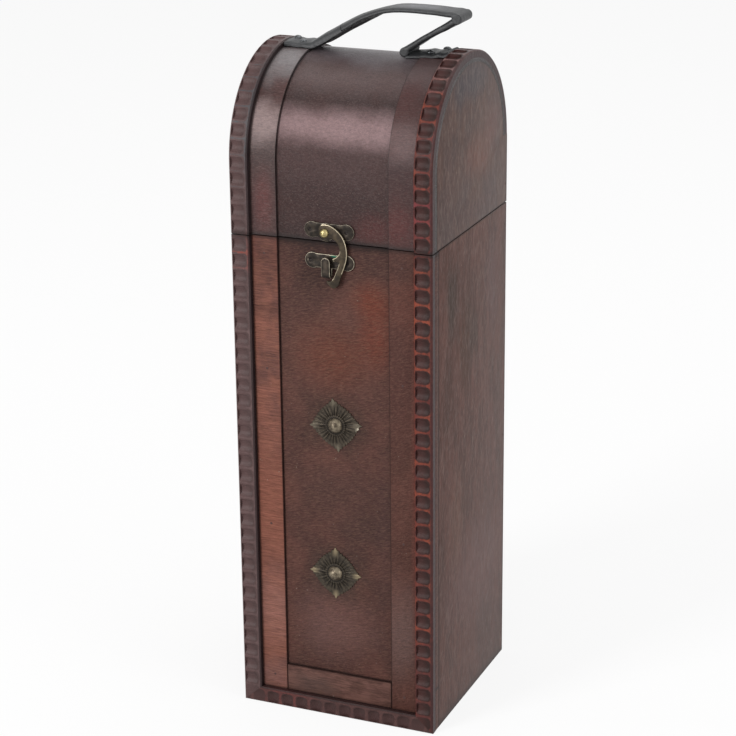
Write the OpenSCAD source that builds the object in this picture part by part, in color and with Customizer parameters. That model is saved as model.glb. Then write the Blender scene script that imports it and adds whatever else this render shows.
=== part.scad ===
// Wooden wine box for one bottle: a tall carcass with a domed, hinged lid, a brass swing latch and a leather
// handle that folds over. Millimetres, +Z up. The origin is the middle of the base, +X to the right and +Y to
// the back, so the latch faces -Y.

/* [Carcass] */
// Width over the side boards
box_w = 110; // [104:1:130]
// Depth from the face of the front mouldings to the back
box_d = 108; // [100:1:120]
// Height of the seam between carcass and lid
seam_z = 264; // [240:1:300]
// Thickness of the side boards and of the lid's end boards
side_t = 6; // [4:0.5:8]
// Thickness of the front board
front_t = 4.5; // [3:0.5:6]
// Thickness of the back board and of the lid's rails
back_t = 4.5; // [3:0.5:6]
// Thickness of the bottom board
bottom_t = 6; // [3:0.5:10]
// Gap at the seam when the lid is shut
seam_gap = 0.5; // [0.3:0.1:1]

/* [Lid] */
// Height of the lid's upright part below the dome
lid_wall_h = 37; // [25:1:50]
// Thickness of the bent plywood skin
skin_t = 2; // [1:0.25:3]

/* [Coin moulding] */
// Width of the carved mouldings
moulding_w = 10; // [8:0.5:12]
// How far the mouldings stand out from the board
moulding_t = 4; // [3:0.25:5]
// Height of the moulding along the foot
foot_moulding_h = 9; // [8:0.5:12]
// Distance between two carved coins
coin_pitch = 8.45; // [8.2:0.05:12]
// Length of a coin along the moulding
coin_l = 6.2; // [5.6:0.1:7]
// Depth of a coin in its middle
coin_depth = 1.2; // [0.8:0.1:1.6]
// Radius of a coin's round end
coin_end_r = 4.2; // [4:0.1:4.6]
// Rim beside a coin's straight edge
coin_margin = 0.8; // [0.7:0.1:1.2]
// Rim beside a coin's round end
coin_rim = 1.8; // [1.4:0.1:2.4]
// Bevel along the mouldings' outer edges
moulding_bevel = 0.6; // [0.2:0.1:1]

/* [Flat strips] */
// Width of the flat strips beside the centre panel
strip_w = 14.5; // [10:0.5:18]
// Thickness of the flat strips
strip_t = 1.2; // [0.8:0.1:2]
// Height of the flat strip across the foot of the panel
insert_h = 15; // [10:1:24]
// Open joint between the foot strip and the pieces round it
strip_joint = 0.3; // [0.1:0.1:0.6]

/* [Rosettes] */
// Width of a rosette from point to point
rosette_span = 29.5; // [20:0.5:36]
// Height of the upper rosette's centre
upper_rosette_z = 166; // [140:1:200]
// Turn of the upper rosette, which is nailed on askew
upper_rosette_turn = 6; // [-10:1:10]
// Height of the lower rosette's centre
lower_rosette_z = 82.5; // [60:0.5:110]
// Thickness of the rosettes' pressed sheet
rosette_t = 1.1; // [0.8:0.1:1.6]
// Radius of the domed nail in each rosette
dome_nail_r = 4.1; // [3:0.1:5]
// Height of the domed nail over the rosette
dome_nail_h = 2.6; // [1.5:0.1:3.5]

/* [Latch] */
// Thickness of the latch's two plates
plate_t = 1; // [0.8:0.1:1.5]
// Radius of the plates' round ends
plate_end_r = 4.1; // [3.8:0.1:5]
// Distance between the centres of the plates' round ends
plate_nail_pitch = 18.8; // [16:0.2:24]
// How far the latch sits to the left of the middle
latch_shift = 1.6; // [0:0.1:4]
// Height of the upper plate's middle over the seam
upper_plate_rise = 6; // [5.6:0.1:9]
// Drop of the catch plate's middle below the seam
catch_plate_drop = 10; // [9:0.1:12]
// Thickness of the swing hook
hook_t = 1.4; // [1:0.1:1.8]
// Radius of the eye round the hook's rivet
hook_eye_r = 3.3; // [2.8:0.1:3.6]
// Radius of the hook's back
hook_back_r = 15.2; // [15:0.1:15.5]
// Radius of the rivet's shank
rivet_r = 1.4; // [1:0.1:1.8]
// Radius of the rivet's domed head
rivet_head_r = 2.4; // [2:0.1:2.6]
// Width of the tongue that the hook catches
tongue_w = 4.7; // [3.5:0.1:5.5]
// Gap between the hook and what it swings over
hook_gap = 0.2; // [0.15:0.05:0.4]

/* [Hinges] */
// Distance from the box's side to the middle of each hinge
hinge_inset = 28; // [21:1:37]
// Length of a hinge along its pin
hinge_l = 20; // [16:1:26]
// Height of one leaf from the pin's axis
leaf_h = 12; // [9:0.5:16]
// Thickness of the leaves
leaf_t = 0.8; // [0.6:0.1:1]
// Outer radius of the knuckles
knuckle_r = 1.7; // [1.5:0.1:2.2]
// Radius of the hinge pins
hinge_pin_r = 0.9; // [0.7:0.05:1]
// Running clearance round pins and the rivet
pin_clearance = 0.05; // [0.02:0.01:0.1]

/* [Handle] */
// Width of the leather strap
strap_w = 16; // [12:0.2:20]
// Thickness of the leather strap
strap_t = 2; // [1.6:0.1:2.2]
// Outer radius of the rolled creases
crease_r = 2.4; // [2.3:0.05:2.6]
// Gap between a crease and what it turns on
crease_gap = 0.3; // [0.2:0.05:0.4]
// Distance from the flat strip to the middle of the left crease
left_crease_gap = 2.5; // [2.5:0.1:4]
// Distance between the two creases of the grip
grip_l = 49.7; // [47:0.1:52]
// Distance between the two creases of each riser
riser_l = 33; // [30:0.5:36]
// Lean of the risers above the horizontal
lean = 32.5; // [30:0.5:36]
// Rise of the arched grip in its middle
grip_rise = 2.4; // [1:0.1:3]

/* [Nails] */
// Radius of the flat nails in plates and hinges
nail_r = 1.1; // [0.8:0.1:1.4]
// Radius of the domed nails in the handle's tabs
tab_nail_r = 1.9; // [1.4:0.1:2.4]
// Height of the domed nails in the handle's tabs
tab_nail_h = 0.8; // [0.5:0.1:0.8]
// Radius of the brads in the boards and strips
brad_r = 0.7; // [0.5:0.1:1]
// Depth of the brads and nails in the wood
nail_depth = 3.5; // [2:0.5:4]

/* [Hidden] */

fine = 96;
small = 40;
eps = 0.01;

half_w = box_w / 2;
arch_r = box_d / 2;
face_y = -arch_r + moulding_t;
skin_r = arch_r - moulding_t;
strip_r = skin_r + strip_t;
end_r = skin_r - skin_t;
spring_z = seam_z + lid_wall_h;
carcass_z = seam_z - seam_gap / 2;
lid_z = seam_z + seam_gap / 2;
inner_w = box_w - 2 * side_t;
moulding_x = half_w - moulding_w;
panel_x = moulding_x - strip_w;

// Place of the latch, in the plane of the front.
latch_x = -latch_shift;
upper_plate_z = seam_z + upper_plate_rise;
catch_z = seam_z - catch_plate_drop;
rivet_x = latch_x - 2;
rivet_z = upper_plate_z - 0.9;
hook_y = face_y - plate_t - hook_gap;
tongue_x = latch_x - 1.1;

// Place of the hinge pins' axis.
hinge_x = half_w - hinge_inset;
pin_y = arch_r + knuckle_r + 0.1;
knuckle_gap = 0.25;

// Places of the handle's creases: A and B on the lid, C and D at the ends of the grip.
skin_top_z = spring_z + skin_r;
strip_top_z = spring_z + strip_r;
crease_z = skin_top_z + crease_gap + crease_r;
crease_a = [left_crease_gap - panel_x, crease_z];
crease_b = crease_a + [grip_l, 0];
riser_step = riser_l * [cos(lean), sin(lean)];
crease_c = crease_a + riser_step;
crease_d = crease_b + riser_step;
tab_end_x = moulding_x - 0.3;

// A block between its lowest and highest corners.
module block(low, high) {
    translate(low) cube(high - low);
}

// A flat outline drawn in the plane of the front, standing forward from y by its thickness.
module forward(y, thickness) {
    translate([0, y, 0]) rotate([90, 0, 0]) linear_extrude(thickness) children();
}

// A round peg along -Y from y, as a nail's shank or a rivet's.
module peg(x, y, z, r, length) {
    translate([x, y, z]) rotate([90, 0, 0]) cylinder(r = r, h = length, $fn = small);
}

// A domed nail head: the cap of a sphere, of radius r and height h, standing on z = 0.
module nail_cap(r, h) {
    ball_r = (r * r + h * h) / (2 * h);
    intersection() {
        translate([0, 0, h - ball_r]) sphere(r = ball_r, $fn = small);
        cylinder(r = r + 1, h = h + 1, $fn = small);
    }
}

// Half ring over the lid between two radii, from x0 to x1.
module arch_ring(inner_r, outer_r, x0, x1) {
    translate([x0, 0, spring_z])
        rotate([90, 0, 90])
            rotate_extrude(angle = 180, $fn = fine)
                translate([inner_r, 0]) square([outer_r - inner_r, x1 - x0]);
}

// A bent layer of the lid: up the front, over the dome and down to the back rail.
module bent_layer(inner_r, outer_r, x0, x1) {
    arch_ring(inner_r, outer_r, x0, x1);
    block([x0, -outer_r, lid_z], [x1, -inner_r, spring_z]);
}

// Section of a coin moulding, with its width along X and its back on y = 0.
module moulding_section() {
    polygon([[0, 0], [moulding_w, 0], [moulding_w, moulding_t - moulding_bevel],
        [moulding_w - moulding_bevel, moulding_t], [moulding_bevel, moulding_t],
        [0, moulding_t - moulding_bevel]]);
}

// The cut of one coin, from the middle of the moulding's face: +X is across the moulding towards the coin's round
// end, and +Z is out of the face. A gouge pushed along X dishes the coin, and a round chisel ends the stroke.
module gouge(width) {
    x0 = coin_margin - width / 2;
    x1 = width / 2 - coin_rim;
    dish_r = (coin_l * coin_l / 4 + coin_depth * coin_depth) / (2 * coin_depth);
    intersection() {
        translate([x0, 0, dish_r - coin_depth]) rotate([0, 90, 0]) cylinder(r = dish_r, h = width, $fn = small);
        translate([x1 - coin_end_r, 0, -2 * coin_depth])
            cylinder(r = coin_end_r, h = 4 * coin_depth, $fn = small);
    }
}

// A row of gouges up an upright moulding on the front, between two heights.
module gouge_column(x, z0, z1) {
    count = floor((z1 - z0) / coin_pitch);
    start = z0 + (z1 - z0 - (count - 1) * coin_pitch) / 2;
    for (i = [0:count - 1])
        translate([x, -arch_r, start + i * coin_pitch]) rotate([90, 0, 0]) gouge(moulding_w);
}

// An upright coin moulding on the front board, mitred at the foot towards side -1 or 1.
module upright_moulding(side) {
    x0 = side < 0 ? -half_w : moulding_x;
    difference() {
        translate([x0, face_y, 0])
            linear_extrude(carcass_z)
                mirror([0, 1]) moulding_section();
        forward(face_y + 1, moulding_t + 2)
            polygon([[side * (half_w + eps), -1], [side * moulding_x, -1], [side * moulding_x, foot_moulding_h],
                [side * (half_w + eps), 0]]);
        gouge_column(x0 + moulding_w / 2, foot_moulding_h, carcass_z);
    }
}

// A coin moulding bent over the lid, carved at even steps up the front and round the dome.
module bent_moulding(side) {
    x0 = side < 0 ? -half_w : moulding_x;
    mid_x = x0 + moulding_w / 2;
    path = spring_z - lid_z + PI * arch_r;
    count = round(path / coin_pitch + 0.4);
    step = path / count;
    difference() {
        union() {
            translate([x0, 0, spring_z])
                rotate([90, 0, 90])
                    rotate_extrude(angle = 180, $fn = fine)
                        translate([skin_r, 0]) rotate(90) mirror([0, 1]) moulding_section();
            translate([x0, face_y, lid_z])
                linear_extrude(spring_z - lid_z)
                    mirror([0, 1]) moulding_section();
        }
        for (i = [0:count - 1]) {
            along = (i + 0.5) * step;
            rise = along - (spring_z - lid_z);
            if (rise <= 0)
                translate([mid_x, -arch_r, lid_z + along]) rotate([90, 0, 0]) gouge(moulding_w);
            else
                translate([mid_x, 0, spring_z])
                    rotate([-rise / arch_r * 180 / PI, 0, 0])
                        translate([0, -arch_r, 0]) rotate([90, 0, 0]) gouge(moulding_w);
        }
    }
}

// Carcass.
module bottom_board() {
    color("saddlebrown")
        block([-inner_w / 2, face_y + front_t, 0], [inner_w / 2, arch_r - back_t, bottom_t]);
}

module front_board() {
    color([0.36, 0.23, 0.2]) block([-half_w, face_y, 0], [half_w, face_y + front_t, carcass_z]);
}

module back_board() {
    color([0.33, 0.24, 0.21]) block([-inner_w / 2, arch_r - back_t, 0], [inner_w / 2, arch_r, carcass_z]);
}

module side_board(side) {
    x0 = side < 0 ? -half_w : half_w - side_t;
    color([0.38, 0.32, 0.3]) block([x0, face_y + front_t, 0], [x0 + side_t, arch_r, carcass_z]);
}

module foot_moulding() {
    inner = half_w - moulding_w;
    difference() {
        translate([-half_w, face_y, 0])
            rotate([90, 0, 90])
                linear_extrude(box_w)
                    polygon([[0, 0], [-moulding_t + moulding_bevel, 0], [-moulding_t, moulding_bevel],
                        [-moulding_t, foot_moulding_h - moulding_bevel],
                        [-moulding_t + moulding_bevel, foot_moulding_h], [0, foot_moulding_h]]);
        for (side = [-1, 1])
            forward(face_y + 1, moulding_t + 2)
                polygon([[side * half_w, 0], [side * (half_w + 1), 0], [side * (half_w + 1), foot_moulding_h + 1],
                    [side * inner, foot_moulding_h + 1], [side * inner, foot_moulding_h]]);
        count = floor(2 * inner / coin_pitch);
        for (i = [0:count - 1])
            translate([(i - (count - 1) / 2) * coin_pitch, -arch_r, foot_moulding_h / 2])
                rotate([90, 0, 0]) rotate(90) gouge(foot_moulding_h);
    }
}

module flat_strip(side) {
    x0 = side < 0 ? -moulding_x : panel_x;
    color([0.45, 0.27, 0.2])
        block([x0, face_y - strip_t, foot_moulding_h], [x0 + strip_w, face_y, carcass_z]);
}

module foot_flat_strip() {
    reach = panel_x - strip_joint;
    color([0.48, 0.29, 0.21])
        block([-reach, face_y - strip_t, foot_moulding_h + strip_joint], [reach, face_y, foot_moulding_h + insert_h]);
}

// Rosettes: a pressed diamond with saw-toothed edges, raised in the middle, and flutes that run out to the edge.
teeth = 40;
rosette_edge_t = 0.5;
flute_r = 0.4;
boss_r = dome_nail_r + 1.6;
upper_rosette_at = [0, upper_rosette_z];
lower_rosette_at = [latch_x + 0.3, lower_rosette_z];

// Distance from the centre to the edge at an angle, at a tooth's point or in the notch beside it.
function rosette_edge(angle, notch) =
    rosette_span / 2 / (abs(cos(angle)) + abs(sin(angle)))
        * (1 + 0.1 * pow(sin(2 * angle), 2)) * (notch ? 0.94 : 1);

module rosette(at, turn) {
    outline = [for (i = [0:2 * teeth - 1]) let (angle = i * 180 / teeth)
        rosette_edge(angle, i % 2 == 1) * [cos(angle), sin(angle)]];
    color("darkkhaki")
        translate([at[0], face_y, at[1]])
            rotate([90, 0, 0])
                rotate(turn)
                    difference() {
                        intersection() {
                            linear_extrude(rosette_t) polygon(outline);
                            union() {
                                cylinder(r = rosette_span, h = rosette_edge_t, $fn = fine);
                                cylinder(r1 = rosette_span / 2, r2 = dome_nail_r, h = rosette_t + eps, $fn = fine);
                            }
                        }
                        for (i = [0:teeth - 1])
                            rotate((i + 0.5) * 360 / teeth)
                                translate([boss_r, 0, rosette_t - 0.15])
                                    rotate([0, 92, 0]) cylinder(r = flute_r, h = rosette_span / 2, $fn = 16);
                        translate([0, 0, -1]) cylinder(r = rosette_pin_r, h = rosette_t + 2, $fn = small);
                    }
}

rosette_pin_r = 1;

module rosette_nails() {
    color("goldenrod")
        for (at = [upper_rosette_at, lower_rosette_at])
            translate([at[0], face_y, at[1]])
                rotate([90, 0, 0]) {
                    translate([0, 0, rosette_t]) nail_cap(dome_nail_r, dome_nail_h);
                    translate([0, 0, -nail_depth])
                        cylinder(r = rosette_pin_r, h = nail_depth + rosette_t + 1, $fn = small);
                }
}

// Latch: one plate on each side of the seam, a hook on a rivet, and a tongue that it catches.
// The left nail of a plate stands further out than the middle of its round end.
nail_offsets = [-plate_nail_pitch / 2 - 1.2, plate_nail_pitch / 2];
nail_recess = 0.3;
rivet_boss_r = hook_eye_r + 1.4;

module plate_outline(z) {
    for (side = [-1, 1])
        translate([latch_x + side * plate_nail_pitch / 2, z]) circle(r = plate_end_r, $fn = small);
    translate([latch_x - plate_nail_pitch / 2, z - plate_end_r + 0.5])
        square([plate_nail_pitch, 2 * plate_end_r - 1]);
}

module plate_nail_holes(z) {
    for (dx = nail_offsets)
        peg(latch_x + dx, face_y + 1, z, nail_r, plate_t + 2);
}

// The nails' heads lie below the plate's face, clear of the hook.
module plate_nails(z) {
    color("dimgray")
        for (dx = nail_offsets)
            peg(latch_x + dx, face_y + nail_depth, z, nail_r, nail_depth + plate_t - nail_recess);
}

module latch_plate() {
    color([0.36, 0.33, 0.26])
        difference() {
            forward(face_y, plate_t) {
                plate_outline(upper_plate_z);
                translate([rivet_x, rivet_z]) circle(r = rivet_boss_r, $fn = small);
            }
            plate_nail_holes(upper_plate_z);
            peg(rivet_x, face_y + 1, rivet_z, rivet_r, plate_t + 2);
        }
}

// The rivet stands in the lid's front and holds the hook under its domed head.
module latch_rivet() {
    under_head = plate_t + hook_t + 2 * hook_gap;
    color("gold") {
        peg(rivet_x, face_y + nail_depth, rivet_z, rivet_r, nail_depth + under_head + 0.3);
        translate([rivet_x, face_y - under_head, rivet_z]) rotate([90, 0, 0]) nail_cap(rivet_head_r, 1.7);
    }
}

// The catch's tongue is part of its plate: it runs down, curls forward and stands up again in front.
tongue_gap = hook_t + 3 * hook_gap;
tongue_fold_z = catch_z - 6.2;
tongue_top_z = catch_z + 0.2;

// The bent tongue's section, with x as the distance in front of the board.
module tongue_section() {
    fold_r = tongue_gap / 2;
    middle = plate_t + fold_r;
    difference() {
        union() {
            translate([middle, tongue_fold_z]) circle(r = fold_r + plate_t, $fn = small);
            translate([0, tongue_fold_z]) square([2 * middle, catch_z + plate_end_r - tongue_fold_z]);
        }
        translate([middle, tongue_fold_z]) circle(r = fold_r, $fn = small);
        translate([plate_t, tongue_fold_z]) square([tongue_gap, catch_z + 2 * plate_end_r - tongue_fold_z]);
    }
}

module catch_plate() {
    left = tongue_x - tongue_w / 2;
    color([0.36, 0.33, 0.26]) {
        difference() {
            forward(face_y, plate_t) plate_outline(catch_z);
            plate_nail_holes(catch_z);
        }
        intersection() {
            translate([left, face_y, 0])
                rotate([90, 0, 90]) linear_extrude(tongue_w) mirror([1, 0]) tongue_section();
            forward(face_y + 1, 3 * plate_t + tongue_gap) {
                translate([left - 1, 0]) square([tongue_w + 2, tongue_top_z]);
                translate([tongue_x, tongue_top_z]) circle(r = tongue_w / 2, $fn = small);
            }
        }
    }
}

// A bar with round ends between two points of the front's plane.
module bar(p, q, width) {
    run = q - p;
    translate(p) rotate(atan2(run[1], run[0])) translate([0, -width / 2]) square([norm(run), width]);
    translate(p) circle(d = width, $fn = small);
    translate(q) circle(d = width, $fn = small);
}

// The hook in the plane of the front, about its rivet: an eye, a crescent back, a horn that closes over the
// tongue, a straight lower arm and a thumb piece. The mouth is round, and the throat lies below the horn.
hook_back = [-3.1, -12.1];
hook_mouth = [5.4, -8.5];
hook_mouth_r = 3.9;
horn_tip = [4, -14.1];
throat = [8, -15.9];
hook_crescent_outline = [[0, 0], [0, hook_eye_r + 1], [17, hook_eye_r + 1], [17, -21.4], [5.8, -21.4],
    [8.4, -17.1], throat, horn_tip, [7.2, -12], hook_mouth, [7.5, -5.2], [2.2, -1.9]];
hook_arm_outline = [[6.1, -20.9], [8.7, -21], [7.3, -24.5], [6.9, -26.5], [3, -26.4]];
thumb_ends = [[2.2, -25.6], [5.4, -27.2]];
thumb_w = 3.1;

module hook_crescent() {
    difference() {
        intersection() {
            translate(hook_back) circle(r = hook_back_r, $fn = fine);
            polygon(hook_crescent_outline);
        }
        translate(hook_mouth) circle(r = hook_mouth_r, $fn = small);
    }
}

module hook_plate() {
    forward(hook_y, hook_t) translate([rivet_x, rivet_z]) children();
}

module latch_hook() {
    color([0.5, 0.45, 0.34])
        difference() {
            union() {
                hook_plate() circle(r = hook_eye_r, $fn = small);
                hook_plate() hook_crescent();
                hook_plate() polygon(hook_arm_outline);
                hook_plate() bar(thumb_ends[0], thumb_ends[1], thumb_w);
            }
            peg(rivet_x, face_y, rivet_z, rivet_r + pin_clearance, plate_t + hook_t + 2);
        }
}

// Hinges: two carcass knuckles with a lid knuckle between them on one pin. The leaves lie on the back.
knuckle_l = (hinge_l - 2 * knuckle_gap) / 3;

module knuckle(x0, length) {
    translate([x0, pin_y, seam_z]) rotate([0, 90, 0]) cylinder(r = knuckle_r, h = length, $fn = small);
}

module pin_bore(x0, length, r) {
    translate([x0 - 1, pin_y, seam_z]) rotate([0, 90, 0]) cylinder(r = r, h = length + 2, $fn = small);
}

module leaf_nail_holes(side, z) {
    for (dx = [-1, 1])
        peg(side * hinge_x + dx * hinge_l / 3.6, arch_r + leaf_t + 1, z, nail_r, leaf_t + 2);
}

module leaf_nails(z) {
    color("dimgray")
        for (side = [-1, 1])
            for (dx = [-1, 1])
                translate([side * hinge_x + dx * hinge_l / 3.6, arch_r, z])
                    rotate([-90, 0, 0]) {
                        translate([0, 0, -nail_depth]) cylinder(r = nail_r, h = nail_depth + leaf_t, $fn = small);
                        translate([0, 0, leaf_t]) nail_cap(nail_r + 0.4, 0.4);
                    }
}

leaf_nail_rise = leaf_h * 0.62;
leaf_clear = 0.4;

module carcass_leaf(side) {
    x0 = side * hinge_x - hinge_l / 2;
    far_x = x0 + 2 * (knuckle_l + knuckle_gap);
    color([0.55, 0.48, 0.3])
        difference() {
            union() {
                block([x0, arch_r, seam_z - leaf_h], [x0 + hinge_l, arch_r + leaf_t, seam_z - knuckle_r - knuckle_gap]);
                for (x = [x0, far_x]) {
                    block([x, arch_r, seam_z - knuckle_r - 1], [x + knuckle_l, arch_r + leaf_t, seam_z - leaf_clear]);
                    knuckle(x, knuckle_l);
                }
            }
            pin_bore(x0, hinge_l, hinge_pin_r);
            leaf_nail_holes(side, seam_z - leaf_nail_rise);
        }
}

module lid_leaf(side) {
    x0 = side * hinge_x - hinge_l / 2;
    mid_x = x0 + knuckle_l + knuckle_gap;
    color([0.55, 0.48, 0.3])
        difference() {
            union() {
                block([x0, arch_r, seam_z + knuckle_r + knuckle_gap], [x0 + hinge_l, arch_r + leaf_t, seam_z + leaf_h]);
                block([mid_x, arch_r, seam_z + leaf_clear], [mid_x + knuckle_l, arch_r + leaf_t, seam_z + knuckle_r + 1]);
                knuckle(mid_x, knuckle_l);
            }
            pin_bore(x0, hinge_l, hinge_pin_r + pin_clearance);
            leaf_nail_holes(side, seam_z + leaf_nail_rise);
        }
}

module hinge_pins() {
    color("gold")
        for (side = [-1, 1])
            translate([side * hinge_x - hinge_l / 2, pin_y, seam_z])
                rotate([0, 90, 0]) cylinder(r = hinge_pin_r, h = hinge_l, $fn = small);
}

// Lid.
module end_board(side) {
    x0 = side < 0 ? -half_w : half_w - side_t;
    color([0.36, 0.32, 0.31]) {
        translate([x0, 0, spring_z])
            rotate([90, 0, 90]) rotate_extrude(angle = 180, $fn = fine) square([end_r, side_t]);
        block([x0, -end_r, lid_z], [x0 + side_t, arch_r, spring_z]);
    }
}

module lid_front_rail() {
    color("saddlebrown")
        block([-inner_w / 2, -end_r, lid_z], [inner_w / 2, -end_r + back_t, spring_z]);
}

module lid_back_rail() {
    color([0.33, 0.24, 0.21])
        block([-inner_w / 2, arch_r - back_t, lid_z], [inner_w / 2, arch_r, spring_z]);
}

module lid_skin() {
    color([0.36, 0.28, 0.26]) bent_layer(end_r, skin_r, -half_w, half_w);
}

module lid_flat_strip(side) {
    x0 = side < 0 ? -moulding_x : panel_x;
    color([0.42, 0.27, 0.22]) bent_layer(skin_r, strip_r, x0, x0 + strip_w);
}

// Handle: a strap nailed down by two tabs, with rolled creases that the risers and the grip turn on.
module across_strap() {
    translate([0, strap_w / 2, 0]) rotate([90, 0, 0]) linear_extrude(strap_w) children();
}

module crease_hollow(p) {
    translate([p[0], -strap_w, p[1]])
        rotate([-90, 0, 0]) cylinder(r = crease_r + crease_gap, h = 2 * strap_w, $fn = small);
}

module crease_roll(p) {
    translate([p[0], -strap_w / 2, p[1]]) rotate([-90, 0, 0]) cylinder(r = crease_r, h = strap_w, $fn = small);
}

// A riser crosses from one side of its foot's roll to the other side of the grip's roll. Side 1 leaves its foot
// underneath, and side -1 over the top.
module riser(foot, side) {
    inner_r = crease_r - strap_t;
    root_r = crease_r - 0.1;
    color([0.2, 0.2, 0.21])
        translate([foot[0], 0, foot[1]])
            rotate([0, -lean, 0]) {
                difference() {
                    across_strap()
                        polygon([[0, -side * root_r], [riser_l, side * inner_r], [riser_l, side * crease_r],
                            [0, -side * inner_r]]);
                    crease_hollow([riser_l, 0]);
                }
                crease_roll([0, 0]);
            }
}

module handle_grip() {
    steps = 12;
    inner_r = crease_r - strap_t;
    arch = [for (i = [0:steps]) [i * grip_l / steps, grip_rise * sin(180 * i / steps)]];
    back = [for (i = [steps:-1:0]) arch[i] + [0, inner_r]];
    color([0.22, 0.22, 0.23]) {
        translate([crease_c[0], 0, crease_c[1]])
            across_strap() polygon(concat([for (p = arch) p + [0, crease_r - 0.05]], back));
        crease_roll(crease_c);
        crease_roll(crease_d);
    }
}

// A tab lies on the flat strip, or over the strip's edge on the skin too, and ends in a hollow round the crease.
module handle_tab(x0, x1, foot) {
    step_x = panel_x - 1;
    color([0.2, 0.2, 0.21])
        difference() {
            across_strap()
                polygon(x1 < 0
                    ? [[x0, skin_top_z - 2], [x1, skin_top_z - 2], [x1, strip_top_z + strap_t],
                        [x0, strip_top_z + strap_t]]
                    : [[x0, skin_top_z - 2], [x1, skin_top_z - 2], [x1, strip_top_z + strap_t],
                        [panel_x, strip_top_z + strap_t], [step_x, skin_top_z + strap_t],
                        [x0, skin_top_z + strap_t]]);
            translate([-half_w, 0, spring_z]) rotate([0, 90, 0]) cylinder(r = skin_r, h = box_w, $fn = fine);
            for (x = [-half_w, panel_x])
                translate([x, 0, spring_z])
                    rotate([0, 90, 0]) cylinder(r = strip_r, h = half_w - panel_x, $fn = fine);
            crease_hollow(foot);
        }
}

// Places of the domed nails: from the tabs' outer ends, the strips' inner edges and the strap's two edges.
left_nail_inset = 3.3;
right_nail_inset = 3.9;
inner_nail_inset = 4.1;
front_nail_margin = 4.2;
back_nail_margin = 4.6;
front_nail_y = front_nail_margin - strap_w / 2;
back_nail_y = strap_w / 2 - back_nail_margin;
tab_nails = [[left_nail_inset - tab_end_x, back_nail_y], [-panel_x - inner_nail_inset, front_nail_y],
    [panel_x + inner_nail_inset, front_nail_y], [tab_end_x - right_nail_inset, back_nail_y]];

module handle_tab_nails() {
    color("silver")
        for (p = tab_nails)
            translate([p[0], p[1], strip_top_z + strap_t]) {
                nail_cap(tab_nail_r, tab_nail_h);
                translate([0, 0, -strap_t]) cylinder(r = 0.7, h = strap_t + 0.2, $fn = small);
            }
}

// Brads, flush with the face that they hold.
module front_brad(x, z) {
    peg(x, face_y, z, brad_r, strip_t);
}

module side_brad(y, z) {
    translate([half_w - nail_depth, y, z]) rotate([0, 90, 0]) cylinder(r = brad_r, h = nail_depth, $fn = small);
}

strip_brad_x = moulding_x - strip_w / 2;
side_brad_y = arch_r - back_t / 2;
low_brad_rise = 8;
top_brad_drop = 9;
side_brad_inset = 12;
lid_strip_brad_rise = 6;
lid_side_brad_rise = 10;

module carcass_brads() {
    color("dimgray") {
        for (z = [foot_moulding_h + low_brad_rise, 0.4 * seam_z, 0.73 * seam_z, carcass_z - top_brad_drop])
            for (side = [-1, 1])
                front_brad(side * strip_brad_x, z);
        for (z = [side_brad_inset, seam_z / 2, seam_z - side_brad_inset])
            for (turn = [0, 180])
                rotate(turn) side_brad(turn == 0 ? side_brad_y : -side_brad_y, z);
    }
}

module lid_brads() {
    color("dimgray") {
        for (side = [-1, 1])
            front_brad(side * strip_brad_x, lid_z + lid_strip_brad_rise);
        for (turn = [0, 180])
            rotate(turn) side_brad(turn == 0 ? side_brad_y : -side_brad_y, lid_z + lid_side_brad_rise);
    }
}

bottom_board();
front_board();
back_board();
side_board(-1);  // left_side_board
side_board(1);  // right_side_board
color([0.42, 0.25, 0.23]) upright_moulding(-1);  // left_coin_moulding
color([0.5, 0.24, 0.21]) upright_moulding(1);  // right_coin_moulding
color([0.42, 0.25, 0.23]) foot_moulding();  // foot_coin_moulding
flat_strip(-1);  // left_flat_strip
flat_strip(1);  // right_flat_strip
foot_flat_strip();
rosette(upper_rosette_at, upper_rosette_turn);  // upper_rosette
rosette(lower_rosette_at, 0);  // lower_rosette
rosette_nails();
catch_plate();
plate_nails(catch_z);  // catch_plate_nails
carcass_leaf(-1);  // left_hinge_carcass_leaf
carcass_leaf(1);  // right_hinge_carcass_leaf
hinge_pins();
leaf_nails(seam_z - leaf_nail_rise);  // carcass_leaf_nails
carcass_brads();
end_board(-1);  // lid_left_end
end_board(1);  // lid_right_end
lid_front_rail();
lid_back_rail();
lid_skin();
color([0.4, 0.27, 0.25]) bent_moulding(-1);  // lid_left_coin_moulding
color([0.5, 0.25, 0.22]) bent_moulding(1);  // lid_right_coin_moulding
lid_flat_strip(-1);  // lid_left_flat_strip
lid_flat_strip(1);  // lid_right_flat_strip
latch_plate();
plate_nails(upper_plate_z);  // latch_plate_nails
latch_rivet();
lid_leaf(-1);  // left_hinge_lid_leaf
lid_leaf(1);  // right_hinge_lid_leaf
leaf_nails(seam_z + leaf_nail_rise);  // lid_leaf_nails
lid_brads();
handle_tab(-tab_end_x, -panel_x, crease_a);  // handle_left_tab
handle_tab(crease_b[0] + 1.6, tab_end_x, crease_b);  // handle_right_tab
handle_tab_nails();
latch_hook();
riser(crease_a, 1);  // handle_left_riser
handle_grip();
riser(crease_b, -1);  // handle_right_riser
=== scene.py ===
import math

import bmesh
import bpy
from mathutils import Matrix, Vector


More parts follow.
